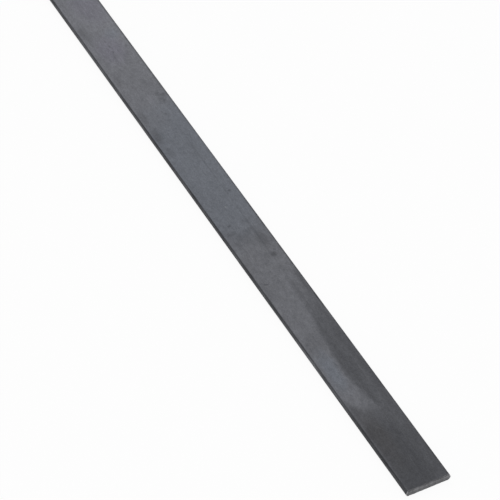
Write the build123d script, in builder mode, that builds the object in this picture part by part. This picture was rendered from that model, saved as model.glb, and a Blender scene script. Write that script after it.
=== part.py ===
"""Hot-rolled steel flat bar, 20 x 3 mm, sheared to a length of 1 m.

One solid, rolled in one piece. It lies on its broad face:
    +X  along the bar
    +Y  across the bar
    +Z  up, from the broad face it rests on (z = 0) to the other broad face (z = bar_thickness)
The origin is at the middle of the bar's length and width, on the face it rests on.
"""

import os
from math import radians, tan

from build123d import *

# Stock size
bar_length = 1000.0
bar_width = 20.0
bar_thickness = 3.0

# Rolled section: the rolls leave the narrow edges swollen in an arc, with their corners rounded
edge_crown = 0.60  # how far a narrow edge swells past the corners of the broad faces
corner_radius = 0.75  # between a crowned edge and a broad face

# Sheared ends: the blade draws the edge over, shears a bright land, and the rest breaks away
rollover_radius = 0.35  # edge drawn over where the blade entered
land_height = 1.00  # sheared land, square to the bar, below the face the blade entered
break_angle = 6.0  # degrees that the broken part leans back from square

break_depth = (bar_thickness - land_height) * tan(radians(break_angle))

with BuildPart() as flat_bar:
    # The rolled section, run along the whole length
    with BuildSketch(Plane.YZ) as section:
        corner = bar_width / 2 - edge_crown
        with BuildLine():
            Line((-corner, 0), (corner, 0))
            ThreePointArc((corner, 0), (bar_width / 2, bar_thickness / 2), (corner, bar_thickness))
            Line((corner, bar_thickness), (-corner, bar_thickness))
            ThreePointArc((-corner, bar_thickness), (-bar_width / 2, bar_thickness / 2), (-corner, 0))
        make_face()
        fillet(section.vertices(), corner_radius)
    extrude(amount=bar_length / 2, both=True)

    # Both cut ends, seen from the side. Bars are cut from a longer one by strokes of the same
    # blade, so the second end is the other side of the same cut: the first turned half round.
    with BuildSketch(Plane.XZ) as side_view:
        first_end = [
            (bar_length / 2, bar_thickness),
            (bar_length / 2, bar_thickness - land_height),
            (bar_length / 2 - break_depth, 0),
        ]
        second_end = [(-x, bar_thickness - z) for x, z in first_end]
        with BuildLine():
            Polyline(*first_end, *second_end, close=True)
        make_face()
        first_edge = side_view.vertices().sort_by_distance(first_end[0])[0]
        second_edge = side_view.vertices().sort_by_distance(second_end[0])[0]
        fillet([first_edge, second_edge], rollover_radius)
    extrude(amount=bar_width, both=True, mode=Mode.INTERSECT)

flat_bar.part.label = "flat_bar"

os.makedirs("parts", exist_ok=True)
export_step(flat_bar.part, "parts/flat_bar.step")
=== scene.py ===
"""Hot-rolled steel flat bar: a length of mill-scaled flat with rounded edges and sheared ends."""

import math

import bmesh
import bpy
from bpy.props import FloatProperty, FloatVectorProperty, PointerProperty
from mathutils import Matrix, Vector, noise


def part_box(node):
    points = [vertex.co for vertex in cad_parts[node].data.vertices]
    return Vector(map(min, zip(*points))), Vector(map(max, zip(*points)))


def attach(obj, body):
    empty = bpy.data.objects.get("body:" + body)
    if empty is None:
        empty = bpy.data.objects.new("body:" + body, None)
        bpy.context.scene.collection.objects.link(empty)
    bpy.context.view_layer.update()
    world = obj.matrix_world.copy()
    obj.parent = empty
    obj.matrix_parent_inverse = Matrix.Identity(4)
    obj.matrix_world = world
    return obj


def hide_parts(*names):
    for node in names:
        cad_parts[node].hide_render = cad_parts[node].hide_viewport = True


bl_info = {
    "name": "Hot-rolled flat bar",
    "version": (1, 0, 0),
    "blender": (4, 5, 0),
    "location": "3D View > Sidebar > Flat Bar",
    "description": "A length of hot-rolled steel flat under mill scale, on a plain studio floor",
    "category": "Add Mesh",
}

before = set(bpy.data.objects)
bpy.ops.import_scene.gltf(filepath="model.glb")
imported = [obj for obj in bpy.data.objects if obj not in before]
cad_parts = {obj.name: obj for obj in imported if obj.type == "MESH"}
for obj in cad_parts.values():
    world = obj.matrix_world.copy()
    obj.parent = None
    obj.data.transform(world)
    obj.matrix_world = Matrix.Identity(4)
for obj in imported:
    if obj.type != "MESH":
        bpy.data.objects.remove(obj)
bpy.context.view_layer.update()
LOW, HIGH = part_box("flat_bar")
MM = 0.001


# ------------------------ Settings ------------------------


def length_setting(name, description, default):
    """A length in metres."""
    return FloatProperty(
        name=name, description=description, default=default, unit="LENGTH", precision=5
    )


def angle_setting(name, description, degrees):
    """An angle, with its default in degrees."""
    return FloatProperty(
        name=name, description=description, default=math.radians(degrees), unit="ROTATION"
    )


def power_setting(name, description, watts):
    """The power of a lamp."""
    return FloatProperty(name=name, description=description, default=watts, unit="POWER")


def colour_setting(name, description, default):
    """A colour, as linear red, green and blue."""
    kind = {"subtype": "COLOR", "size": 3, "min": 0.0, "max": 1.0}
    return FloatVectorProperty(name=name, description=description, default=default, **kind)


def share_setting(name, description, default):
    """A share between nothing and all."""
    return FloatProperty(
        name=name, description=description, default=default, subtype="FACTOR", min=0.0, max=1.0
    )


class FlatBarShape(bpy.types.PropertyGroup):
    """The rolled section and the two sheared ends"""

    length: length_setting("Length", "Length of the bar", HIGH.x - LOW.x)
    width: length_setting("Width", "Width over the rounded edges", HIGH.y - LOW.y)
    thickness: length_setting("Thickness", "Thickness between the broad faces", HIGH.z - LOW.z)
    edge_crown: length_setting(
        "Edge crown", "How far a narrow edge swells past the broad faces", 0.60 * MM
    )
    corner_radius: length_setting(
        "Corner radius", "Radius between a narrow edge and a broad face", 0.75 * MM
    )
    rollover: length_setting(
        "Rollover", "Radius of the edge that the shear blade drew over", 0.35 * MM
    )
    land: length_setting("Sheared land", "Height of the smooth land below that edge", 1.00 * MM)
    break_angle: angle_setting(
        "Break angle", "How far the broken part of an end leans back", 6.0
    )
    break_relief: length_setting(
        "Break relief", "Depth of the torn grain in the broken part", 0.08 * MM
    )
    edge_waver: length_setting(
        "Edge waver", "How far the sheared face wanders from straight", 0.06 * MM
    )
    burr: length_setting("Burr", "Lip of metal left at the foot of the broken part", 0.08 * MM)


class FlatBarFinish(bpy.types.PropertyGroup):
    """The colours of the mill scale and of the bare steel, with painted shade and a painted glint
    among them
    """

    scale_colour: colour_setting(
        "Mill scale", "Grey of the scale over most of the bar", (0.141, 0.144, 0.158)
    )
    blue_colour: colour_setting(
        "Blue scale", "Bluer scale in broad patches", (0.137, 0.147, 0.168)
    )
    violet_colour: colour_setting(
        "Violet scale", "Scale with a violet tint", (0.1415, 0.1405, 0.1635)
    )
    # Used for the painted shade at the near end as well as for the real dark smudges and rolling
    # lines
    dark_scale_and_shade_colour: colour_setting(
        "Dark scale", "Darker scale near an end and in smudges", (0.055, 0.0565, 0.0625)
    )
    brown_colour: colour_setting(
        "Brown scale", "Dark scale with a brown tint", (0.0575, 0.0565, 0.059)
    )
    # Painted shade: the narrow edges get a darker colour than the broad faces, though their scale
    # is the same
    edge_shade_colour: colour_setting(
        "Edge scale", "Scale on the rounded narrow edges", (0.078, 0.080, 0.087)
    )
    scratch_colour: colour_setting("Scratches", "Scale scratched thin", (0.30, 0.30, 0.31))
    land_colour: colour_setting(
        "Sheared land", "Steel that the blade has burnished", (0.150, 0.150, 0.157)
    )
    break_colour: colour_setting(
        "Broken steel", "Steel where the end broke away", (0.146, 0.146, 0.153)
    )
    # Painted glint: a light colour along the sharp sides of a cut end, standing in for light that
    # the edge catches
    glint_colour: colour_setting(
        "Bright edge", "Bare steel along the sharp sides of a cut end", (0.42, 0.42, 0.43)
    )


class FlatBarStudio(bpy.types.PropertyGroup):
    """The floor, the lamps and the camera"""

    floor_colour: colour_setting("Floor", "Colour of the floor", (0.96, 0.96, 0.96))
    floor_glow: share_setting(
        "Floor glow", "How much of the floor stays white under the bar's shadow", 0.92
    )
    sky: FloatProperty(
        name="Sky", description="Strength of the even light from all round", default=0.45
    )
    key_power: power_setting("Key lamp", "Power of the large softbox", 16.0)
    fill_power: power_setting("Fill lamp", "Power of the small softbox", 10.0)
    lens: FloatProperty(
        name="Lens", description="Focal length in millimetres", default=197.2, unit="CAMERA"
    )
    distance: length_setting(
        "Camera distance", "Distance from the camera to its aim", 1161.0 * MM
    )
    aim_from_end: length_setting(
        "Aim from end", "Distance of the camera's aim from the near end", 145.8 * MM
    )
    aim_across: length_setting(
        "Aim across", "Distance of the camera's aim from the centre line", -3.15 * MM
    )
    heading: angle_setting(
        "Heading", "Way that the camera looks, anticlockwise from the bar's own", 152.59
    )
    dip: angle_setting("Dip", "How far the camera looks down from level", 45.47)


# -------------------------- Bar ---------------------------

CORNER_FACETS = 6  # in each rounded corner of the section
CROWN_FACETS = 8  # in each narrow edge
RUN_STEP = 10.0 * MM  # spacing of the faces along the bar
END_STEPS = (0.0, 0.8 * MM, 1.6 * MM, 3.0 * MM, 5.0 * MM, 8.0 * MM)  # finer spacing near an end
END_COLUMNS = 144  # faces across a cut end
EDGE_ROWS = 8  # faces over the drawn-over edge of a cut end
EDGE_REACH = 1.4  # depth of those faces together, in rollovers
FACE_ROWS = 22  # faces over the rest of its height
TOUCHING = 0.001 * MM  # vertices this close to a plane lie on it
CUT_END = 1  # place of the cut ends' material in the bar's list

# Waves across a sheared face: their size, and what is added to the end's seed
END_SEED = 20  # and the same below 0 for the far end
FACE_WAVE = (4.0 * MM, 0)
ROLLOVER_WAVE = (2.2 * MM, 3)
LAND_WAVE = (2.5 * MM, 5)
BURR_WAVE = (1.1 * MM, 7)

ROLLOVER_SWING = 0.7  # how much the rollover varies, as a share of it
ROLLOVER_AT_SIDES = 0.4  # how much larger it is at the sides of the bar, as a share of it
SIDE_POWER = 4  # how close to the sides that stays
LAND_SWING = 0.3  # how much the height of the land varies, as a share of it
TORN_WIDTH = 0.45 * MM  # size of the torn grain across the bar
TORN_HEIGHT = 0.7 * MM  # and down the face
TORN_FADE = 0.3 * MM  # depth over which it sets in, below the land
BURR_HEIGHT = 0.2 * MM  # at the foot of the face

MAP_NAME = "OFBake"  # name of the bar's own map, through which its materials can be baked
MAP_ROWS = 4  # lengths that the bar is cut into on that map
MAP_GAP = 1.5 * MM  # between neighbours on that map


def spin_vertex(mesh, vert, centre, angle, steps):
    """Sweeps a vertex about an axis along X and returns the vertex that ends the arc."""
    axis = (1.0, 0.0, 0.0)
    swept = bmesh.ops.spin(mesh, geom=[vert], cent=centre, axis=axis, angle=angle, steps=steps)
    return [item for item in swept["geom_last"] if isinstance(item, bmesh.types.BMVert)][0]


def draw_section(mesh, shape, x):
    """Draws the ring of the section: two flats, two narrow edges and four rounded corners."""
    half = shape.thickness / 2
    crown_radius = (half**2 + shape.edge_crown**2) / (2 * shape.edge_crown)
    crown_centre = shape.width / 2 - crown_radius
    corner_drop = half - shape.corner_radius
    corner_reach = math.sqrt((crown_radius - shape.corner_radius) ** 2 - corner_drop**2)
    corner_centre = crown_centre + corner_reach
    meet = math.atan2(corner_drop, corner_centre - crown_centre)
    heights = (shape.corner_radius, shape.thickness - shape.corner_radius)
    first = vert = mesh.verts.new((x, corner_centre, 0.0))
    for side, (near, far) in ((1, heights), (-1, reversed(heights))):
        arcs = (
            (side * corner_centre, near, math.pi / 2 - meet, CORNER_FACETS),
            (side * crown_centre, half, 2 * meet, CROWN_FACETS),
            (side * corner_centre, far, math.pi / 2 - meet, CORNER_FACETS),
        )
        for y, z, angle, facets in arcs:
            vert = spin_vertex(mesh, vert, (x, y, z), angle, facets)
        if side == 1:
            start = vert
            vert = bmesh.ops.extrude_vert_indiv(mesh, verts=[start])["verts"][0]
            vert.co.y = -start.co.y
    mesh.edges.new((vert, first))


def run_stations(shape):
    """Places of the section's rings along the bar, closer together near the ends."""
    middle = shape.length / 2 - END_STEPS[-1]
    count = round(2 * middle / RUN_STEP)
    inner = [middle * (2 * step / count - 1) for step in range(1, count)]
    outer = [shape.length / 2 - step for step in END_STEPS]
    return [-place for place in outer] + inner + outer[::-1]


def run_section(mesh, shape):
    """Extrudes the section's ring along the bar."""
    ring = list(mesh.edges)
    for station in run_stations(shape)[1:]:
        grown = bmesh.ops.extrude_edge_only(mesh, edges=ring)["geom"]
        verts = {item for item in grown if isinstance(item, bmesh.types.BMVert)}
        edges = [item for item in grown if isinstance(item, bmesh.types.BMEdge)]
        ring = [edge for edge in edges if verts.issuperset(edge.verts)]
        for vert in verts:
            vert.co.x = station


def close_end(mesh, shape, end):
    """Closes one end of the bar and cuts its face into a grid, finest over the drawn-over edge."""
    rim = [edge for edge in mesh.edges if edge.is_boundary and edge.verts[0].co.x * end > 0]
    bmesh.ops.contextual_create(mesh, geom=rim)
    cap = {item for edge in rim for item in (edge, *edge.verts)}
    cap.update(face for face in mesh.faces if all(vert in cap for vert in face.verts))
    deep = EDGE_REACH * shape.rollover
    depths = [deep * step / EDGE_ROWS for step in range(1, EDGE_ROWS)]
    depths += [deep + (shape.thickness - deep) * step / FACE_ROWS for step in range(FACE_ROWS)]
    heights = [shape.thickness - depth if end > 0 else depth for depth in depths]
    columns = [shape.width * (step / END_COLUMNS - 0.5) for step in range(1, END_COLUMNS)]
    cuts = [((0.0, 0.0, height), (0.0, 0.0, 1.0)) for height in heights]
    cuts += [((0.0, place, 0.0), (0.0, 1.0, 0.0)) for place in columns]
    geom = list(cap)
    for point, normal in cuts:
        plane = {"plane_co": point, "plane_no": normal}
        geom = bmesh.ops.bisect_plane(mesh, geom=geom, dist=TOUCHING, **plane)["geom"]
    for item in geom:
        if isinstance(item, bmesh.types.BMFace):
            item.material_index = CUT_END


def waver(across, wave, seed):
    """Smooth wander between -1 and 1 across the bar."""
    size, own_seed = wave
    return noise.noise(Vector((across / size, seed + own_seed, 0.0)))


def shear_setback(shape, depth, across, seed):
    """How far a sheared end stands back from square, below the face that the blade entered."""
    setback = shape.edge_waver * (1 + waver(across, FACE_WAVE, seed)) / 2
    side = (2 * across / shape.width) ** SIDE_POWER
    swing = ROLLOVER_SWING * waver(across, ROLLOVER_WAVE, seed)
    rollover = shape.rollover * (1 + ROLLOVER_AT_SIDES * side + swing)
    if depth < rollover:
        rise = min(rollover - depth, rollover)
        setback += rollover - math.sqrt(rollover**2 - rise**2)
    land = shape.land * (1 + LAND_SWING * waver(across, LAND_WAVE, seed))
    if depth > land:
        torn = noise.noise(Vector((across / TORN_WIDTH, depth / TORN_HEIGHT, seed)))
        relief = min((depth - land) / TORN_FADE, 1.0) * shape.break_relief * torn
        setback += (depth - land) * math.tan(shape.break_angle) + relief
        foot = max(1 - (shape.thickness - depth) / BURR_HEIGHT, 0.0)
        setback -= foot * shape.burr * (1 + waver(across, BURR_WAVE, seed))
    return max(setback, 0.0)


def shear_end(mesh, shape, end):
    """Shears one end: the blade entered from the top at +X, and from below at -X."""
    plane = end * shape.length / 2
    for vert in mesh.verts:
        if abs(vert.co.x - plane) < TOUCHING:
            depth = shape.thickness - vert.co.z if end > 0 else vert.co.z
            vert.co.x -= end * shear_setback(shape, depth, vert.co.y, seed=END_SEED * end)


def place_round(shape, face, vert, wide, tall):
    """Place of a vertex on the map round the section: top, underside, then the narrow edges."""
    if abs(face.normal.z) >= abs(face.normal.y):
        up = 1 if face.normal.z > 0 else -1
        return up * vert.co.y + wide / 2 + (0.0 if up > 0 else wide)
    out = 1 if face.normal.y > 0 else -1
    height = vert.co.z - shape.thickness / 2
    return 2 * wide + tall / 2 - out * height + (0.0 if out > 0 else tall)


def lay_out_map(mesh, shape):
    """Lays the bar out on a square: both cut ends at the foot, and its length in rows above."""
    layer = mesh.loops.layers.uv.new(MAP_NAME)
    tall, wide = shape.thickness + MAP_GAP, shape.width + MAP_GAP
    foot = tall / (2 * wide)  # share of the square's height that the ends take
    row_length = shape.length / MAP_ROWS
    for face in mesh.faces:
        middle = face.calc_center_median()
        if face.material_index == CUT_END:
            end = 1 if middle.x > 0 else -1
            for loop in face.loops:
                across = (end * loop.vert.co.y / wide + (1 + end / 2)) / 2
                loop[layer].uv = across, (loop.vert.co.z + MAP_GAP / 2) / (2 * wide)
            continue
        row = min(int((middle.x + shape.length / 2) / row_length), MAP_ROWS - 1)
        start = row * row_length - shape.length / 2 - (RUN_STEP + MAP_GAP) / 2
        for loop in face.loops:
            along = (loop.vert.co.x - start) / (row_length + RUN_STEP + MAP_GAP)
            place = place_round(shape, face, loop.vert, wide, tall)
            share = (row + place / (2 * (wide + tall))) / MAP_ROWS
            loop[layer].uv = along, foot + (1 - foot) * share


def mesh_object(mesh, name, materials):
    """Turns a finished bmesh into an object at the origin."""
    data = bpy.data.meshes.new(name)
    mesh.to_mesh(data)
    mesh.free()
    for material in materials:
        data.materials.append(material)
    piece = bpy.data.objects.new(name, data)
    bpy.context.scene.collection.objects.link(piece)
    return piece


def make_bar(shape, finish):
    """Makes the bar, with its rolled section, its two sheared ends and its two materials."""
    mesh = bmesh.new()
    draw_section(mesh, shape, -shape.length / 2)
    run_section(mesh, shape)
    for end in (-1, 1):
        close_end(mesh, shape, end)
        shear_end(mesh, shape, end)
    bmesh.ops.recalc_face_normals(mesh, faces=mesh.faces)
    lay_out_map(mesh, shape)
    for face in mesh.faces:
        face.smooth = True
    materials = [mill_scale(shape, finish), sheared_steel(shape, finish)]
    return mesh_object(mesh, "hot_rolled_bar", materials)


# ---------------------- Shader nodes ----------------------

# Noise of the grain, at a size of 1: its size along, across and up (mm), detail, roughness
COARSE_GRAIN = ((3.2, 1.8, 1.8), 3.0, 0.6)
FINE_GRAIN = ((1.0, 0.7, 0.7), 2.0, 0.6)

FINE_SHARE = 0.65  # of the fine grain in the whole
SMALLEST_SPECK = 0.35  # radius of the smallest speck, as a share of the radius given
SPECK_CORE = 0.3  # part of a speck's radius that is full
SCRATCH_CELL = (14.0, 1.1, 4.0)  # length, width and depth of the cell that holds a scratch (mm)
SCRATCH_WIDTH = (0.09, 0.02)  # half-widths of a scratch at its rim and core, in cells
SCRATCH_LENGTH = (0.55, 0.30)  # how far from its middle it is gone, and is full, in cells
BUMP = {"Strength": 0.5, "Distance": 0.03 * MM}


class Nodes:
    """Adds nodes to a tree. Each call adds one, fills its inputs and returns its first output."""

    def __init__(self, tree):
        self.tree = tree

    def add(self, kind, inputs=None, output=0, **settings):
        """Any node, with its inputs by name or place and its settings by name."""
        node = self.tree.nodes.new(kind)
        for name, value in settings.items():
            setattr(node, name, value)
        for key, value in (inputs or {}).items():
            self.fill(node.inputs[key], value)
        return node.outputs[output]

    def fill(self, socket, value):
        """Links a socket to an input, or sets the input to a plain value."""
        if isinstance(value, bpy.types.NodeSocket):
            self.tree.links.new(value, socket)
        else:
            socket.default_value = value

    def math(self, operation, *values):
        """Arithmetic on numbers."""
        return self.add("ShaderNodeMath", dict(enumerate(values)), operation=operation)

    def vector(self, operation, *values):
        """Arithmetic on vectors."""
        return self.add("ShaderNodeVectorMath", dict(enumerate(values)), operation=operation)

    def scaled(self, vector, amount):
        """A vector or a colour times a number."""
        return self.add("ShaderNodeVectorMath", {0: vector, "Scale": amount}, operation="SCALE")

    def length(self, vector):
        """The length of a vector."""
        return self.add("ShaderNodeVectorMath", {0: vector}, output=1, operation="LENGTH")

    def step(self, value, low, high, bottom=0.0, top=1.0):
        """Goes smoothly from bottom to top as the value goes from low to high."""
        inputs = {"Value": value, "From Min": low, "From Max": high}
        inputs |= {"To Min": bottom, "To Max": top}
        return self.add("ShaderNodeMapRange", inputs, interpolation_type="SMOOTHSTEP")

    def spread(self, value, middle, swing, reach=0.25):
        """A swing below to a swing above the middle, as noise goes a reach below to above 0.5."""
        return self.step(value, 0.5 - reach, 0.5 + reach, middle - swing, middle + swing)

    def mix(self, share, first, second):
        """Goes from the first colour to the second as the share goes from 0 to 1."""
        inputs = {"Factor": share, 6: rgba(first), 7: rgba(second)}
        return self.add("ShaderNodeMix", inputs, output=2, data_type="RGBA")

    def mix_value(self, share, first, second):
        """The same for two numbers."""
        return self.math("MULTIPLY_ADD", share, second - first, first)

    def noise(self, position, size, detail=2.0, roughness=0.5):
        """Smooth noise about 0.5, whose blotches have the given size along each axis."""
        scale = [1 / extent for extent in size]
        scaled = self.add("ShaderNodeMapping", {"Vector": position, "Scale": scale})
        inputs = {"Vector": scaled, "Scale": 1.0, "Detail": detail, "Roughness": roughness}
        return self.add("ShaderNodeTexNoise", inputs)

    def split(self, vector):
        """The three numbers of a vector."""
        xyz = self.add("ShaderNodeSeparateXYZ", {"Vector": vector}).node
        return xyz.outputs[0], xyz.outputs[1], xyz.outputs[2]

    def group(self, tree, inputs, output=0):
        """A node group, with its inputs by name."""
        node = self.tree.nodes.new("ShaderNodeGroup")
        node.node_tree = tree
        for key, value in inputs.items():
            self.fill(node.inputs[key], value)
        return node.outputs[output]


def rgba(colour):
    """A colour as a socket takes it: linked as it is, or with full opacity added."""
    return colour if isinstance(colour, bpy.types.NodeSocket) else (*colour[:3], 1.0)


def new_group(name, inputs, outputs):
    """A shader node group with the named sockets: its tree, its nodes and its two ends."""
    tree = bpy.data.node_groups.new(name, "ShaderNodeTree")
    for socket, kind in inputs.items():
        tree.interface.new_socket(socket, in_out="INPUT", socket_type=kind)
    for socket, kind in outputs.items():
        tree.interface.new_socket(socket, in_out="OUTPUT", socket_type=kind)
    start, end = tree.nodes.new("NodeGroupInput"), tree.nodes.new("NodeGroupOutput")
    return tree, Nodes(tree), start, end


def bar_position(nodes):
    """Position on the bar in millimetres: along it from the near end, across it, and up."""
    place = nodes.add("ShaderNodeTexCoord", output="Object")
    inputs = {"Vector": place, "Location": (-HIGH.x / MM, 0.0, 0.0), "Scale": [1 / MM] * 3}
    return nodes.add("ShaderNodeMapping", inputs)


def new_material(name):
    """A material, with its nodes and the shader that it starts with."""
    material = bpy.data.materials.new(name)
    material.use_nodes = True
    shader = material.node_tree.nodes["Principled BSDF"]
    return material, Nodes(material.node_tree), shader


def grain_group():
    """Fine metal grain: two sizes of noise, stretched along the bar."""
    if "steel_grain" in bpy.data.node_groups:
        return bpy.data.node_groups["steel_grain"]
    inputs = {"Position": "NodeSocketVector", "Size": "NodeSocketFloat"}
    tree, nodes, start, end = new_group("steel_grain", inputs, {"Grain": "NodeSocketFloat"})
    shrink = nodes.math("DIVIDE", 1.0, start.outputs["Size"])
    shrunk = nodes.scaled(start.outputs["Position"], shrink)
    coarse = nodes.math("MULTIPLY", nodes.noise(shrunk, *COARSE_GRAIN), 1 - FINE_SHARE)
    fine = nodes.math("MULTIPLY", nodes.noise(shrunk, *FINE_GRAIN), FINE_SHARE)
    nodes.fill(end.inputs["Grain"], nodes.math("ADD", coarse, fine))
    return tree


def speck_group():
    """Scattered round specks: one chance of a speck in each cell, of a size of its own."""
    if "specks" in bpy.data.node_groups:
        return bpy.data.node_groups["specks"]
    inputs = {"Position": "NodeSocketVector", "Spacing": "NodeSocketFloat"}
    inputs |= {"Radius": "NodeSocketFloat", "Share": "NodeSocketFloat"}
    tree, nodes, start, end = new_group("specks", inputs, {"Specks": "NodeSocketFloat"})
    per_cell = nodes.math("DIVIDE", 1.0, start.outputs["Spacing"])
    cell_inputs = {"Vector": start.outputs["Position"], "Scale": per_cell}
    cells = nodes.add("ShaderNodeTexVoronoi", cell_inputs)
    chance, size, _ = nodes.split(cells.node.outputs["Color"])
    share = nodes.math("ADD", size, SMALLEST_SPECK)
    radius = nodes.math("MULTIPLY", start.outputs["Radius"], share)
    reach = nodes.math("MULTIPLY", radius, per_cell)
    core = nodes.step(cells, reach, nodes.math("MULTIPLY", reach, SPECK_CORE))
    present = nodes.math("LESS_THAN", chance, start.outputs["Share"])
    nodes.fill(end.inputs["Specks"], nodes.math("MULTIPLY", core, present))
    return tree


def scratch_group():
    """Fine straight scratches: each a thin stripe in a long narrow cell that may slant."""
    if "scratches" in bpy.data.node_groups:
        return bpy.data.node_groups["scratches"]
    inputs = {"Position": "NodeSocketVector", "Slant": "NodeSocketFloat"}
    inputs |= {"Share": "NodeSocketFloat"}
    tree, nodes, start, end = new_group("scratches", inputs, {"Scratches": "NodeSocketFloat"})
    turn = {"Vector": start.outputs["Position"], "Angle": start.outputs["Slant"]}
    turned = nodes.add("ShaderNodeVectorRotate", turn | {"Axis": (0.0, 0.0, 1.0)})
    scale = [1 / extent for extent in SCRATCH_CELL]
    cells = nodes.add("ShaderNodeMapping", {"Vector": turned, "Scale": scale})
    texture = nodes.add("ShaderNodeTexVoronoi", {"Vector": cells, "Scale": 1.0})
    chance, _, _ = nodes.split(texture.node.outputs["Color"])
    from_middle = nodes.vector("SUBTRACT", cells, texture.node.outputs["Position"])
    _, offset, _ = nodes.split(from_middle)
    stripe = nodes.step(nodes.math("ABSOLUTE", offset), *SCRATCH_WIDTH)
    stripe = nodes.math("MULTIPLY", stripe, nodes.step(texture, *SCRATCH_LENGTH))
    present = nodes.math("LESS_THAN", chance, start.outputs["Share"])
    nodes.fill(end.inputs["Scratches"], nodes.math("MULTIPLY", stripe, present))
    return tree


# ----------------------- Mill scale -----------------------

# Broad patches along the bar: distance of the middle from the near end, half-length (mm),
# blueness, lightness
# The lightness of the patches at 200, 315 and 318 mm is a painted sheen, lighter away from the
# near end; the rest is the scale's own tone
TONE_AND_SHEEN_PATCHES = (
    (201.0, 49.0, 0.90, 0.01),
    (200.0, 34.0, 0.00, 0.05),
    (315.0, 85.0, 0.00, 0.17),
    (318.0, 44.0, 0.00, 0.07),
    (455.0, 60.0, 0.70, 0.02),
    (560.0, 45.0, 0.10, -0.08),
    (680.0, 80.0, 0.25, 0.10),
    (820.0, 60.0, 0.80, -0.02),
    (930.0, 60.0, 0.15, 0.07),
)

# Patches that vary the painted shade along the narrow edges: distance of the middle from the
# near end, half-length (mm), lightness of the -Y edge, and darkness of the upper corner at the +Y
# edge
EDGE_SHADE_PATCHES = (
    (22.0, 26.0, -0.19, 0.00),
    (80.0, 30.0, 0.23, 0.00),
    (92.0, 26.0, 0.00, 0.35),
    (220.0, 18.0, -0.21, 0.00),
    (215.0, 44.0, 0.00, -0.40),
    (287.0, 14.0, 0.27, 0.00),
    (380.0, 40.0, -0.15, 0.10),
    (520.0, 45.0, 0.15, -0.20),
    (640.0, 30.0, -0.18, 0.20),
    (790.0, 50.0, 0.20, -0.30),
    (930.0, 40.0, -0.15, 0.10),
)

# Smudges on the upper face: from the near end, across, half-length, half-width (mm), darkness
SMUDGES = (
    (139.1, 4.8, 1.7, 1.5, 0.55),
    (141.8, 6.1, 1.0, 0.8, 0.30),
    (182.0, 5.4, 1.0, 0.8, 0.55),
    (162.2, 3.0, 3.0, 2.2, 0.18),
    (150.0, 4.4, 6.5, 2.6, 0.34),
    (156.6, 2.5, 1.7, 4.6, 0.26),
    (157.6, -6.0, 1.8, 3.4, 0.32),
    (151.0, -6.4, 2.0, 2.6, 0.24),
    (154.0, -3.0, 4.0, 5.5, 0.18),
    (162.5, -4.6, 1.0, 0.9, 0.42),
    (145.6, -5.9, 0.5, 1.8, 0.25),
    (124.7, -6.5, 0.5, 1.2, 0.45),
    (127.5, -0.9, 0.6, 0.6, 0.28),
    (130.8, -1.5, 0.6, 0.6, 0.25),
    (135.6, -0.9, 0.7, 0.6, 0.22),
    (114.0, 3.6, 11.0, 1.6, 0.30),
    (117.0, 8.4, 12.0, 2.0, 0.42),
    (89.0, -3.1, 1.1, 0.8, 0.32),
    (71.6, -2.4, 1.2, 0.8, 0.28),
    (86.5, -4.8, 6.0, 5.5, 0.15),
    (248.0, 5.6, 3.0, 1.8, 0.34),
    (252.4, 5.0, 2.4, 1.6, 0.32),
    (251.2, 6.8, 1.4, 2.2, 0.30),
    (238.8, 2.8, 1.0, 0.9, 0.35),
    (288.4, 6.9, 1.2, 0.9, 0.30),
    (295.0, -0.7, 1.2, 0.7, 0.36),
    (291.0, -0.2, 1.1, 0.7, 0.42),
    (286.8, -0.1, 0.9, 0.6, 0.28),
    (283.5, -1.3, 1.1, 0.7, 0.26),
    (300.5, -0.6, 3.0, 0.8, 0.20),
    (304.0, -7.2, 7.5, 2.8, 0.26),
    (268.0, -6.8, 6.0, 2.4, 0.26),
    (240.0, -7.6, 7.0, 1.9, 0.30),
    (227.0, -7.0, 6.5, 2.6, 0.42),
    (215.0, -6.6, 5.0, 2.0, 0.20),
    (260.0, -2.5, 2.5, 1.2, 0.12),
    (224.0, 0.5, 3.5, 2.0, 0.12),
    (411.0, 3.8, 4.0, 1.9, 0.30),
    (436.0, -5.0, 1.2, 1.0, 0.50),
    (502.0, 1.5, 6.0, 3.0, 0.22),
    (547.0, -6.8, 7.5, 2.0, 0.30),
    (598.0, 5.2, 1.3, 1.1, 0.50),
    (655.0, -2.2, 4.5, 1.6, 0.24),
    (712.0, 6.4, 5.0, 1.8, 0.32),
    (764.0, -4.1, 1.1, 0.9, 0.50),
    (807.0, 0.8, 5.5, 2.4, 0.22),
    (868.0, -6.2, 3.0, 1.6, 0.34),
    (921.0, 4.4, 1.2, 1.0, 0.45),
    (957.0, -1.0, 4.0, 2.4, 0.24),
)

# Chips in the scale that show bare steel, in the same terms
CHIPS = (
    (173.8, -0.6, 0.45, 0.4, 0.50),
    (281.5, 5.6, 0.4, 0.3, 0.30),
    (393.0, -3.4, 0.5, 0.4, 0.45),
    (618.0, 0.9, 0.6, 0.4, 0.50),
    (846.0, 4.8, 0.5, 0.5, 0.45),
)

# Blue clouds on the upper face, in the same terms
CLOUDS = (
    (69.0, -5.6, 14.0, 4.4, 0.95),
    (298.0, 4.5, 5.0, 4.0, 0.70),
    (372.0, -3.0, 18.0, 5.0, 0.60),
    (590.0, 4.0, 24.0, 4.5, 0.70),
    (745.0, -4.5, 16.0, 4.0, 0.60),
    (905.0, 3.0, 20.0, 5.0, 0.70),
)

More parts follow.
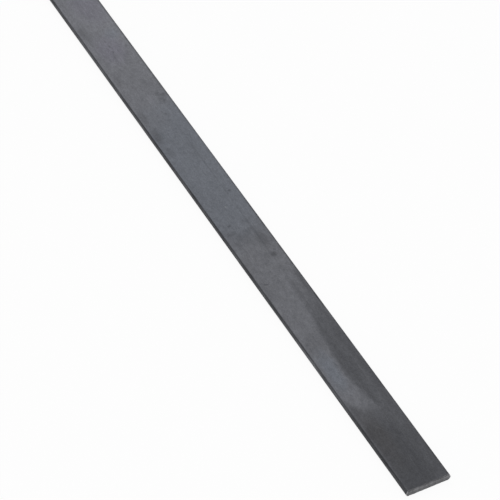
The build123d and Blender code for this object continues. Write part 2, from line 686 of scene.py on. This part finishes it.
# Places with a violet tint, and dark places with a brown one, in the same terms
VIOLET_CLOUDS = (
    (289.0, -0.5, 12.0, 8.0, 1.00),
    (322.0, 3.0, 16.0, 9.0, 0.90),
    (488.0, -4.0, 20.0, 6.0, 0.80),
    (660.0, 3.0, 26.0, 6.0, 0.80),
    (880.0, -3.0, 18.0, 7.0, 0.90),
)
BROWN_CLOUDS = (
    (30.0, -5.5, 20.0, 5.5, 1.00),
    (232.0, -7.5, 14.0, 2.6, 0.80),
    (268.0, -7.5, 8.0, 2.4, 0.60),
    (547.0, -6.8, 9.0, 3.0, 0.80),
)

# Lines that the rolls left along the upper face: where one starts and ends from the near end,
# across (mm), darkness
ROLL_MARKS = (
    (126.0, 238.0, 4.0, 0.16),
    (265.0, 395.0, -6.9, 0.09),
    (455.0, 640.0, 2.2, 0.12),
    (560.0, 790.0, -4.4, 0.10),
    (730.0, 965.0, 5.3, 0.12),
)

# How far a mark reaches from its middle: where it is gone, and where it is full
PATCH_FADE = (1.3, 0.5)  # in half-lengths
SPOT_FADE = (1.25, 0.3)  # in half-lengths and half-widths
SPOT_DEPTH = 1.0  # half-depth of every spot, below the upper face (mm)
LINE_FADE = (0.8, 0.1)  # of a rolling line, across (mm)

# How outlines are pushed about: size of the waves, and the most that they push (mm)
SOFT_PUSH = (8.0, 1.6)
RAGGED_PUSH = (2.5, 0.9)
WANDERING_PUSH = (30.0, 24.0)
PUSH_DETAIL, PUSH_ROUGHNESS = 3.0, 0.6

# Painted shade at the near end, where the sheen fades, in millimetres across the bar or along it:
# below 0 is back from the end. Of two places along, it begins at the first and is full at the
# second.
END_DARK = 0.56
END_FADE = (-48.2, -41.2)
END_FLARE_FROM = -4.0  # past this place across, it begins further back
END_FLARE = 1.4  # by this much for each millimetre
TIP_DARK = 0.23  # added a little nearer the end
TIP_FADE = (-43.2, -32.2)
TIP_MIDDLE = -4.5  # place across where the tip begins furthest back
TIP_POINT = 0.7  # how much nearer it begins for each millimetre from there
TIP_SIDE = (1.0, 7.0)  # from here to there across, it weakens
TIP_SIDE_LEFT = 0.42  # to this share
BAND_DARK = 0.61  # a band of the same painted shade that runs on from the end along the +Y side
BAND_FADE = (-134.0, -78.0)
BAND_RIM = (-1.3, 1.5)  # where it begins and is full, outwards from its inner rim
BAND_LOW = (-66.0, -1.0)  # where that rim comes furthest in, along and across
BAND_BEND = 0.0021  # how fast the rim turns outwards from there
BAND_BEND_MORE = 0.0041  # and how much faster on the side of the near end
STREAK_PLACE = 5.2  # a lighter streak along the band
STREAK_FADE = (0.4, 2.4)  # how far from there it is full, and is gone
STREAK_LEFT = 0.84  # share of the band's darkness that it keeps

# Noise in the scale: its size along, across and up (mm), detail, roughness
MOTTLING = ((11.0, 5.0, 5.0), 5.0, 0.62)
BLOTCHES = ((2.6, 1.7, 1.7), 3.0, 0.6)
ROLLING = ((160.0, 0.7, 0.7), 2.0, 0.5)
# the next noise varies the painted shade on the narrow edges
EDGE_SHADE_DRIFT = ((14.0, 40.0, 1.2), 5.0, 0.65)

# How much each layer lightens and darkens the scale
MOTTLING_SWING = 0.09
BLOTCHES_SWING = 0.045
ROLLING_SWING = 0.03
GRAIN_SWING = 0.20
# how much that noise lightens and darkens the painted shade on the narrow edges
EDGE_SHADE_SWING = 0.40
EDGE_SHADE_DRIFT_REACH = 0.2  # noise this far from its middle gives the whole swing
BLUE_CALM, DARK_CALM = 0.35, 0.6  # how much less the blue scale, and the painted end shade and dark marks, are mottled
CLOUD_LIGHT = 0.07  # how much lighter the blue clouds are

# Small marks: slants in radians, sizes in millimetres
SCRATCHES_ALONG = {"Slant": 0.06, "Share": 0.07}
SCRATCHES_SLANTED = {"Slant": -0.55, "Share": 0.04}
SCRATCH_STRENGTH = 0.13  # how much bare steel shows in them
SPECKS = {"Spacing": 3.5, "Radius": 0.40, "Share": 0.20}
SPECK_DARK = 0.18
PITS = {"Spacing": 1.1, "Radius": 0.16, "Share": 0.30}
PIT_DARK = 0.16

# Zones along the sides: where each begins and is full, in from the widest place (mm)
CORNER_HIGHLIGHT_ZONE = (0.7, 2.0)  # at -Y, where a painted highlight along the corner lightens the painted end shade most, and where no more
CORNER_HIGHLIGHT_LEFT = 0.62  # share of its darkness that is left there
CORNER_SHADE_ZONE = (1.6, 0.8)  # the painted shade on the upper corner at +Y
CORNER_SHADE_DARK = 0.75
EDGE_SHADE_ZONE = (0.85, 0.35)  # the painted shade on the narrow edges

SCALE_GRAIN_SIZE = 0.5
SCALE_ROUGHNESS = 0.46
ROUGHNESS_SWING = 0.04  # less where a blotch is light, more where it's dark
DARK_ROUGHER = 0.06  # how much rougher it is under the painted end shade and the dark marks
BLOTCH_RELIEF, SCRATCH_RELIEF, PIT_RELIEF = 0.5, -0.4, -0.6  # beside the grain's own


def displaced(nodes, position, size, amount):
    """The position, pushed about by up to the amount by noise of the given size."""
    push = nodes.noise(position, (size,) * 3, PUSH_DETAIL, PUSH_ROUGHNESS).node.outputs["Color"]
    centred = nodes.vector("SUBTRACT", push, (0.5, 0.5, 0.5))
    return nodes.vector("ADD", nodes.scaled(centred, 2 * amount), position)


def spot_mask(nodes, position, spots):
    """The spots together: 0 away from them, and up to their own strength in the middle of each."""
    total = 0.0
    for along, across, half_length, half_width, strength in spots:
        size = Vector((half_length, half_width, SPOT_DEPTH))
        middle = Vector((-along, across, HIGH.z / MM))
        offset = [-place / reach for place, reach in zip(middle, size)]
        near = nodes.vector("MULTIPLY_ADD", position, [1 / reach for reach in size], offset)
        spot = nodes.step(nodes.length(near), *SPOT_FADE, top=strength)
        total = nodes.math("MAXIMUM", spot, total)
    return total


def patch_sums(nodes, along, patches):
    """Adds broad patches along the bar together, each of which carries one amount or more."""
    sums = [0.0] * (len(patches[0]) - 2)
    for middle, half_length, *amounts in patches:
        away = nodes.math("ABSOLUTE", nodes.math("ADD", along, middle))
        mask = nodes.step(away, *(share * half_length for share in PATCH_FADE))
        sums = [nodes.math("MULTIPLY_ADD", mask, *pair) for pair in zip(amounts, sums)]
    return sums


def end_shade(nodes, position):
    """Painted shade at the near end, with a band that runs back from it along the +Y side."""
    along, across, _ = nodes.split(position)
    from_low = nodes.math("SUBTRACT", along, BAND_LOW[0])
    nearer = nodes.math("GREATER_THAN", from_low, 0.0)
    bend = nodes.math("MULTIPLY_ADD", nearer, BAND_BEND_MORE, BAND_BEND)
    rise = nodes.math("MULTIPLY", nodes.math("MULTIPLY", from_low, from_low), bend)
    inside = nodes.math("SUBTRACT", nodes.math("SUBTRACT", across, BAND_LOW[1]), rise)
    from_streak = nodes.math("ABSOLUTE", nodes.math("SUBTRACT", across, STREAK_PLACE))
    streak = nodes.step(from_streak, *STREAK_FADE, bottom=STREAK_LEFT)
    lasting = nodes.step(along, *BAND_FADE, top=BAND_DARK)
    band = nodes.math("MULTIPLY", nodes.step(inside, *BAND_RIM), lasting)
    band = nodes.math("MULTIPLY", band, streak)
    outside = nodes.math("MAXIMUM", nodes.math("SUBTRACT", END_FLARE_FROM, across), 0.0)
    flared = nodes.math("MULTIPLY_ADD", outside, END_FLARE, along)
    end = nodes.step(flared, *END_FADE, top=END_DARK)
    off_tip = nodes.math("ABSOLUTE", nodes.math("SUBTRACT", across, TIP_MIDDLE))
    pointed = nodes.math("MULTIPLY_ADD", off_tip, -TIP_POINT, along)
    tip = nodes.step(pointed, *TIP_FADE, top=TIP_DARK)
    tip_side = nodes.step(across, *TIP_SIDE, bottom=1.0, top=TIP_SIDE_LEFT)
    return nodes.math("MULTIPLY_ADD", tip, tip_side, nodes.math("MAXIMUM", band, end))


def roll_marks(nodes, along, across):
    """Adds the lines that the rolls left together."""
    total = 0.0
    for start, end, place, darkness in ROLL_MARKS:
        beside = nodes.math("ABSOLUTE", nodes.math("ADD", across, -place))
        line = nodes.step(beside, *LINE_FADE, top=darkness)
        beyond = nodes.math("ABSOLUTE", nodes.math("ADD", along, (start + end) / 2))
        length = nodes.step(beyond, (end - start) / 2, (end - start) / 4)
        total = nodes.math("MULTIPLY_ADD", line, length, total)
    return total


def mill_scale(shape, finish):
    """Thin satin scale: blue and grey patches, rolling lines, marks, grain, painted sheen, and
    painted shade at the near end and on the edges.
    """
    material, nodes, shader = new_material("mill_scale")
    position = bar_position(nodes)
    soft = displaced(nodes, position, *SOFT_PUSH)
    ragged = displaced(nodes, position, *RAGGED_PUSH)
    along, across, _ = nodes.split(position)
    off_centre = nodes.math("ABSOLUTE", across)
    half_width = shape.width / MM / 2

    mottling = nodes.noise(soft, *MOTTLING)
    blotches = nodes.noise(soft, *BLOTCHES)
    rolling = nodes.noise(position, *ROLLING)
    grain = nodes.group(grain_group(), {"Position": position, "Size": SCALE_GRAIN_SIZE})

    # Scale of the broad faces
    wandering = nodes.split(displaced(nodes, position, *WANDERING_PUSH))[0]
    # the lightness carries a painted sheen as well as the scale's own tone
    blue, light = patch_sums(nodes, wandering, TONE_AND_SHEEN_PATCHES)
    clouded = spot_mask(nodes, soft, CLOUDS)
    light = nodes.math("MULTIPLY_ADD", clouded, CLOUD_LIGHT, light)
    bluer = nodes.math("MAXIMUM", blue, clouded)
    colour = nodes.mix(bluer, finish.scale_colour, finish.blue_colour)
    colour = nodes.mix(spot_mask(nodes, soft, VIOLET_CLOUDS), colour, finish.violet_colour)

    # Painted shade at the near end, then dark smudges and rolling lines
    # Painted highlight along the -Y corner: the painted end shade is weaker there
    corner_highlight = nodes.step(across, *(place - half_width for place in CORNER_HIGHLIGHT_ZONE), bottom=CORNER_HIGHLIGHT_LEFT)
    dark = nodes.math("MULTIPLY", end_shade(nodes, soft), corner_highlight)
    dark = nodes.math("MAXIMUM", dark, spot_mask(nodes, ragged, SMUDGES))
    dark = nodes.math("ADD", dark, roll_marks(nodes, along, across))
    browned = spot_mask(nodes, soft, BROWN_CLOUDS)
    dark_scale_and_shade_colour = nodes.mix(browned, finish.dark_scale_and_shade_colour, finish.brown_colour)
    colour = nodes.mix(dark, colour, dark_scale_and_shade_colour)

    # Scratches and chips
    scratches = nodes.math(
        "MAXIMUM",
        nodes.group(scratch_group(), {"Position": position, **SCRATCHES_ALONG}),
        nodes.group(scratch_group(), {"Position": position, **SCRATCHES_SLANTED}),
    )
    chips = spot_mask(nodes, position, CHIPS)
    bare = nodes.math("MULTIPLY_ADD", scratches, SCRATCH_STRENGTH, chips)
    colour = nodes.mix(bare, colour, finish.scratch_colour)

    # Painted shade on the narrow edges, and on the corner above one of them
    edge_shade_lightness, corner_shade_extra = patch_sums(nodes, along, EDGE_SHADE_PATCHES)
    corner = nodes.step(across, *(half_width - place for place in CORNER_SHADE_ZONE))
    corner = nodes.math("MULTIPLY", corner, nodes.math("ADD", corner_shade_extra, CORNER_SHADE_DARK))
    edge = nodes.step(off_centre, *(half_width - place for place in EDGE_SHADE_ZONE))
    edge = nodes.math("MAXIMUM", edge, corner)
    at_minus_y = nodes.math("LESS_THAN", across, 0.0)
    edge_shade_lightness = nodes.math("MULTIPLY_ADD", edge_shade_lightness, at_minus_y, 1.0)
    drift = nodes.noise(position, *EDGE_SHADE_DRIFT)
    drift = nodes.spread(drift, 1.0, EDGE_SHADE_SWING, reach=EDGE_SHADE_DRIFT_REACH)
    edge_shade_lightness = nodes.math("MULTIPLY", edge_shade_lightness, drift)
    colour = nodes.mix(edge, colour, nodes.scaled(finish.edge_shade_colour, edge_shade_lightness))

    # Lightness of it all
    blue_calm = nodes.math("MULTIPLY", blue, BLUE_CALM)
    calm = nodes.math("MAXIMUM", blue_calm, nodes.math("MULTIPLY", dark, DARK_CALM))
    mottle = nodes.math(
        "ADD",
        nodes.spread(mottling, 0.0, MOTTLING_SWING),
        nodes.spread(blotches, 0.0, BLOTCHES_SWING),
    )
    mottle = nodes.math("MULTIPLY", mottle, nodes.math("SUBTRACT", 1.0, calm))
    tone = nodes.math("ADD", nodes.math("ADD", light, 1.0), mottle)
    for layer, swing in ((rolling, ROLLING_SWING), (grain, GRAIN_SWING)):
        tone = nodes.math("MULTIPLY", tone, nodes.spread(layer, 1.0, swing))
    specks = nodes.group(speck_group(), {"Position": ragged, **SPECKS})
    pits = nodes.group(speck_group(), {"Position": position, **PITS})
    pit_dark = nodes.math("MULTIPLY", pits, PIT_DARK)
    marks = nodes.math("MULTIPLY_ADD", specks, SPECK_DARK, pit_dark)
    tone = nodes.math("MULTIPLY", tone, nodes.math("SUBTRACT", 1.0, marks))
    nodes.fill(shader.inputs["Base Color"], nodes.scaled(colour, tone))

    rough = nodes.spread(blotches, SCALE_ROUGHNESS, -ROUGHNESS_SWING)
    rough = nodes.math("MULTIPLY_ADD", dark, DARK_ROUGHER, rough)
    nodes.fill(shader.inputs["Roughness"], rough)
    shader.inputs["Metallic"].default_value = 0.8
    shader.inputs["Specular Tint"].default_value = (0.6, 0.6, 0.6, 1.0)
    height = nodes.math("MULTIPLY_ADD", blotches, BLOTCH_RELIEF, grain)
    height = nodes.math("MULTIPLY_ADD", scratches, SCRATCH_RELIEF, height)
    height = nodes.math("MULTIPLY_ADD", pits, PIT_RELIEF, height)
    nodes.fill(shader.inputs["Normal"], nodes.add("ShaderNodeBump", {"Height": height, **BUMP}))
    return material


# --------------------- Sheared steel ----------------------

# Noise in the cut steel, in the same terms
LAND_FOOT = ((0.9, 0.9, 6.0), 3.0, 0.5)
BLADE_STROKES = ((0.3, 0.3, 9.0), 3.0, 0.65)
BLADE_BANDS = ((2.2, 1.5, 7.0), 2.0, 0.6)

LAND_FOOT_SWING = 0.7  # the most that the foot of the land goes up and down in all (mm)
LAND_FOOT_FADE = (-0.08, 0.12)  # about that foot (mm)
STEEL_GRAIN_SIZE = 0.16
STEEL_SWING = 0.30  # how much the strokes and grain lighten and darken the steel
BANDS_SWING = 0.25  # and how much the bands do
BANDS_REACH = 0.2  # and the noise that gives the whole of that
LAND_GRAIN, BREAK_GRAIN = 0.25, 0.5  # share of the grain beside the strokes
LAND_ROUGHNESS, BREAK_ROUGHNESS = 0.38, 0.58
GLINT_ZONE = (0.34, 0.12)  # where the painted glint begins and is full, in from the edge (mm)
GLINT_FADE = (3.0, -3.0)  # from here to there across, it grows
GLINT_LEAST = 0.25  # from this share
GLINT_STROKES = (0.3, 0.6, 0.7)  # strokes under the first dim it to the last, over the second not


def sheared_steel(shape, finish):
    """Bare steel: a burnished land, torn grain where the rest broke away, and a painted glint on
    the sides.
    """
    material, nodes, shader = new_material("sheared_steel")
    position = bar_position(nodes)
    along, across, up = nodes.split(position)
    half = shape.thickness / MM / 2
    side = nodes.math("SIGN", nodes.math("ADD", along, shape.length / MM / 2))
    depth = nodes.math("MULTIPLY_ADD", side, nodes.math("SUBTRACT", half, up), half)
    highest_foot = shape.land / MM - LAND_FOOT_SWING / 2
    foot = nodes.noise(position, *LAND_FOOT)
    foot = nodes.math("MULTIPLY_ADD", foot, LAND_FOOT_SWING, highest_foot)
    broken = nodes.step(nodes.math("SUBTRACT", depth, foot), *LAND_FOOT_FADE)
    colour = nodes.mix(broken, finish.land_colour, finish.break_colour)

    strokes = nodes.noise(position, *BLADE_STROKES)
    bands = nodes.noise(position, *BLADE_BANDS)
    grain = nodes.group(grain_group(), {"Position": position, "Size": STEEL_GRAIN_SIZE})
    crown = shape.edge_crown / MM
    radius = (half**2 + crown**2) / (2 * crown)
    crown_centre = shape.width / MM / 2 - radius
    outward = nodes.math("SUBTRACT", nodes.math("ABSOLUTE", across), crown_centre)
    upward = nodes.math("SUBTRACT", up, half)
    from_centre = nodes.length(nodes.add("ShaderNodeCombineXYZ", {0: outward, 1: upward}))
    # Painted glint along the sharp sides of the cut end, strongest at -Y
    sharp = nodes.step(from_centre, *(radius - place for place in GLINT_ZONE))
    sharp = nodes.math("MULTIPLY", sharp, nodes.math("GREATER_THAN", outward, 0.0))
    sharp = nodes.math("MULTIPLY", sharp, nodes.step(across, *GLINT_FADE, bottom=GLINT_LEAST))
    sharp = nodes.math("MULTIPLY", sharp, nodes.step(strokes, *GLINT_STROKES))
    colour = nodes.mix(sharp, colour, finish.glint_colour)

    grain_share = nodes.mix_value(broken, LAND_GRAIN, BREAK_GRAIN)
    over_strokes = nodes.math("SUBTRACT", grain, strokes)
    texture = nodes.math("MULTIPLY_ADD", grain_share, over_strokes, strokes)
    banding = nodes.spread(bands, 1.0, BANDS_SWING, reach=BANDS_REACH)
    tone = nodes.math("MULTIPLY", nodes.spread(texture, 1.0, STEEL_SWING), banding)
    nodes.fill(shader.inputs["Base Color"], nodes.scaled(colour, tone))
    rough = nodes.step(broken, 0.0, 1.0, LAND_ROUGHNESS, BREAK_ROUGHNESS)
    nodes.fill(shader.inputs["Roughness"], rough)
    shader.inputs["Metallic"].default_value = 0.9
    nodes.fill(shader.inputs["Normal"], nodes.add("ShaderNodeBump", {"Height": texture, **BUMP}))
    return material


# ------------------------- Studio -------------------------

WHITE = (1.0, 1.0, 1.0, 1.0)
FLOOR_SIZE = 12.0
FLOOR_DROP = 0.02 * MM  # keeps the floor off the bar's underside
VIEW_REACH = 50.0  # how far the camera sees

# Softboxes: the side that each stands on, its distance and its size
KEY_SOFTBOX = ((-0.60, 0.36, 0.80), 2.0, 2.8)
FILL_SOFTBOX = ((0.55, -0.45, 1.0), 1.8, 1.6)


def glow_share(nodes, amount):
    """The amount for rays from the camera and from glossy or clear surfaces, and else nothing."""
    rays = nodes.add("ShaderNodeLightPath").node
    seen = nodes.math("MAXIMUM", rays.outputs["Is Camera Ray"], rays.outputs["Is Glossy Ray"])
    seen = nodes.math("MAXIMUM", seen, rays.outputs["Is Transmission Ray"])
    return nodes.math("MULTIPLY", seen, amount)


def make_floor(studio):
    """A floor that shows only from above, so that the bar can be looked at from below too."""
    mesh = bmesh.new()
    bmesh.ops.create_grid(mesh, x_segments=1, y_segments=1, size=FLOOR_SIZE / 2)
    bmesh.ops.translate(mesh, verts=mesh.verts, vec=(0.0, 0.0, -FLOOR_DROP))
    material, nodes, shader = new_material("studio_floor")
    shader.inputs["Base Color"].default_value = rgba(studio.floor_colour)
    shader.inputs["Roughness"].default_value = 1.0
    shader.inputs["Specular IOR Level"].default_value = 0.0
    white = nodes.add("ShaderNodeEmission", {"Strength": 1.0})
    share = glow_share(nodes, studio.floor_glow)
    above = nodes.add("ShaderNodeMixShader", {0: share, 1: shader.outputs["BSDF"], 2: white})
    behind = nodes.add("ShaderNodeNewGeometry", output="Backfacing")
    clear = nodes.add("ShaderNodeBsdfTransparent")
    both = nodes.add("ShaderNodeMixShader", {0: behind, 1: above, 2: clear})
    nodes.fill(material.node_tree.nodes["Material Output"].inputs["Surface"], both)
    mesh_object(mesh, "studio_floor", [material])


def make_world(studio):
    """Even light from all round, and a white backdrop that only the camera sees."""
    world = bpy.data.worlds.new("studio_world")
    world.use_nodes = True
    nodes = Nodes(world.node_tree)
    sky = world.node_tree.nodes["Background"]
    sky.inputs["Color"].default_value = WHITE
    sky.inputs["Strength"].default_value = studio.sky
    backdrop = nodes.add("ShaderNodeBackground", {"Strength": 1.0})
    rays = nodes.add("ShaderNodeLightPath", output="Is Camera Ray")
    both = nodes.add("ShaderNodeMixShader", {0: rays, 1: sky.outputs["Background"], 2: backdrop})
    nodes.fill(world.node_tree.nodes["World Output"].inputs["Surface"], both)
    bpy.context.scene.world = world


def make_softbox(name, toward, distance, size, power):
    """A square lamp that faces the bar from the given side."""
    data = bpy.data.lights.new(name, "AREA")
    data.shape = "SQUARE"
    data.size = size
    data.energy = power
    lamp = bpy.data.objects.new(name, data)
    lamp.location = Vector((HIGH.x, 0.0, 0.0)) + Vector(toward).normalized() * distance
    lamp.rotation_euler = Vector(toward).to_track_quat("Z", "Y").to_euler()
    bpy.context.scene.collection.objects.link(lamp)


def make_camera(studio):
    """The camera, which looks at the near end of the bar from above."""
    data = bpy.data.cameras.new("studio_camera")
    data.lens = studio.lens
    data.clip_end = VIEW_REACH
    camera = bpy.data.objects.new("studio_camera", data)
    level, down = math.cos(studio.dip), math.sin(studio.dip)
    heading = studio.heading
    look = Vector((math.cos(heading) * level, math.sin(heading) * level, -down))
    aim = Vector((HIGH.x - studio.aim_from_end, studio.aim_across, HIGH.z))
    camera.location = aim - look * studio.distance
    camera.rotation_euler = look.to_track_quat("-Z", "Y").to_euler()
    bpy.context.scene.collection.objects.link(camera)
    bpy.context.scene.camera = camera


# ------------------------- Add-on -------------------------


class FLATBAR_OT_add_bar(bpy.types.Operator):
    """Add the flat bar, with its rolled edges, sheared ends and mill scale"""

    bl_idname = "flatbar.add_bar"
    bl_label = "Add flat bar"

    def execute(self, context):
        bar = make_bar(context.scene.flat_bar_shape, context.scene.flat_bar_finish)
        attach(bar, "root")
        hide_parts("flat_bar")
        return {"FINISHED"}


class FLATBAR_OT_add_stage(bpy.types.Operator):
    """Add the floor, the lamps and the camera"""

    bl_idname = "flatbar.add_stage"
    bl_label = "Add stage"

    def execute(self, context):
        studio = context.scene.flat_bar_studio
        make_floor(studio)
        make_world(studio)
        make_softbox("key_softbox", *KEY_SOFTBOX, studio.key_power)
        make_softbox("fill_softbox", *FILL_SOFTBOX, studio.fill_power)
        make_camera(studio)
        context.scene.view_settings.view_transform = "Standard"
        return {"FINISHED"}


class FLATBAR_PT_sidebar(bpy.types.Panel):
    """Lists the flat bar's settings and operators"""

    bl_label = "Flat Bar"
    bl_idname = "FLATBAR_PT_sidebar"
    bl_space_type = "VIEW_3D"
    bl_region_type = "UI"
    bl_category = "Flat Bar"

    def draw(self, context):
        scene = context.scene
        for title, group in (
            ("Shape", scene.flat_bar_shape),
            ("Finish", scene.flat_bar_finish),
            ("Studio", scene.flat_bar_studio),
        ):
            box = self.layout.box()
            box.label(text=title)
            for name in type(group).__annotations__:
                box.prop(group, name)
        for operator in (FLATBAR_OT_add_bar, FLATBAR_OT_add_stage):
            self.layout.operator(operator.bl_idname)


GROUPS = {
    "flat_bar_shape": FlatBarShape,
    "flat_bar_finish": FlatBarFinish,
    "flat_bar_studio": FlatBarStudio,
}
CLASSES = (*GROUPS.values(), FLATBAR_OT_add_bar, FLATBAR_OT_add_stage, FLATBAR_PT_sidebar)


def register():
    """Registers the classes, and keeps the settings in each scene."""
    for cls in CLASSES:
        bpy.utils.register_class(cls)
    for name, group in GROUPS.items():
        setattr(bpy.types.Scene, name, PointerProperty(type=group))


def unregister():
    """Takes back what register did."""
    for name in GROUPS:
        delattr(bpy.types.Scene, name)
    for cls in reversed(CLASSES):
        bpy.utils.unregister_class(cls)


def main():
    """Adds the bar and its stage."""
    register()
    bpy.ops.flatbar.add_bar()
    bpy.ops.flatbar.add_stage()


if __name__ == "__main__":
    main()
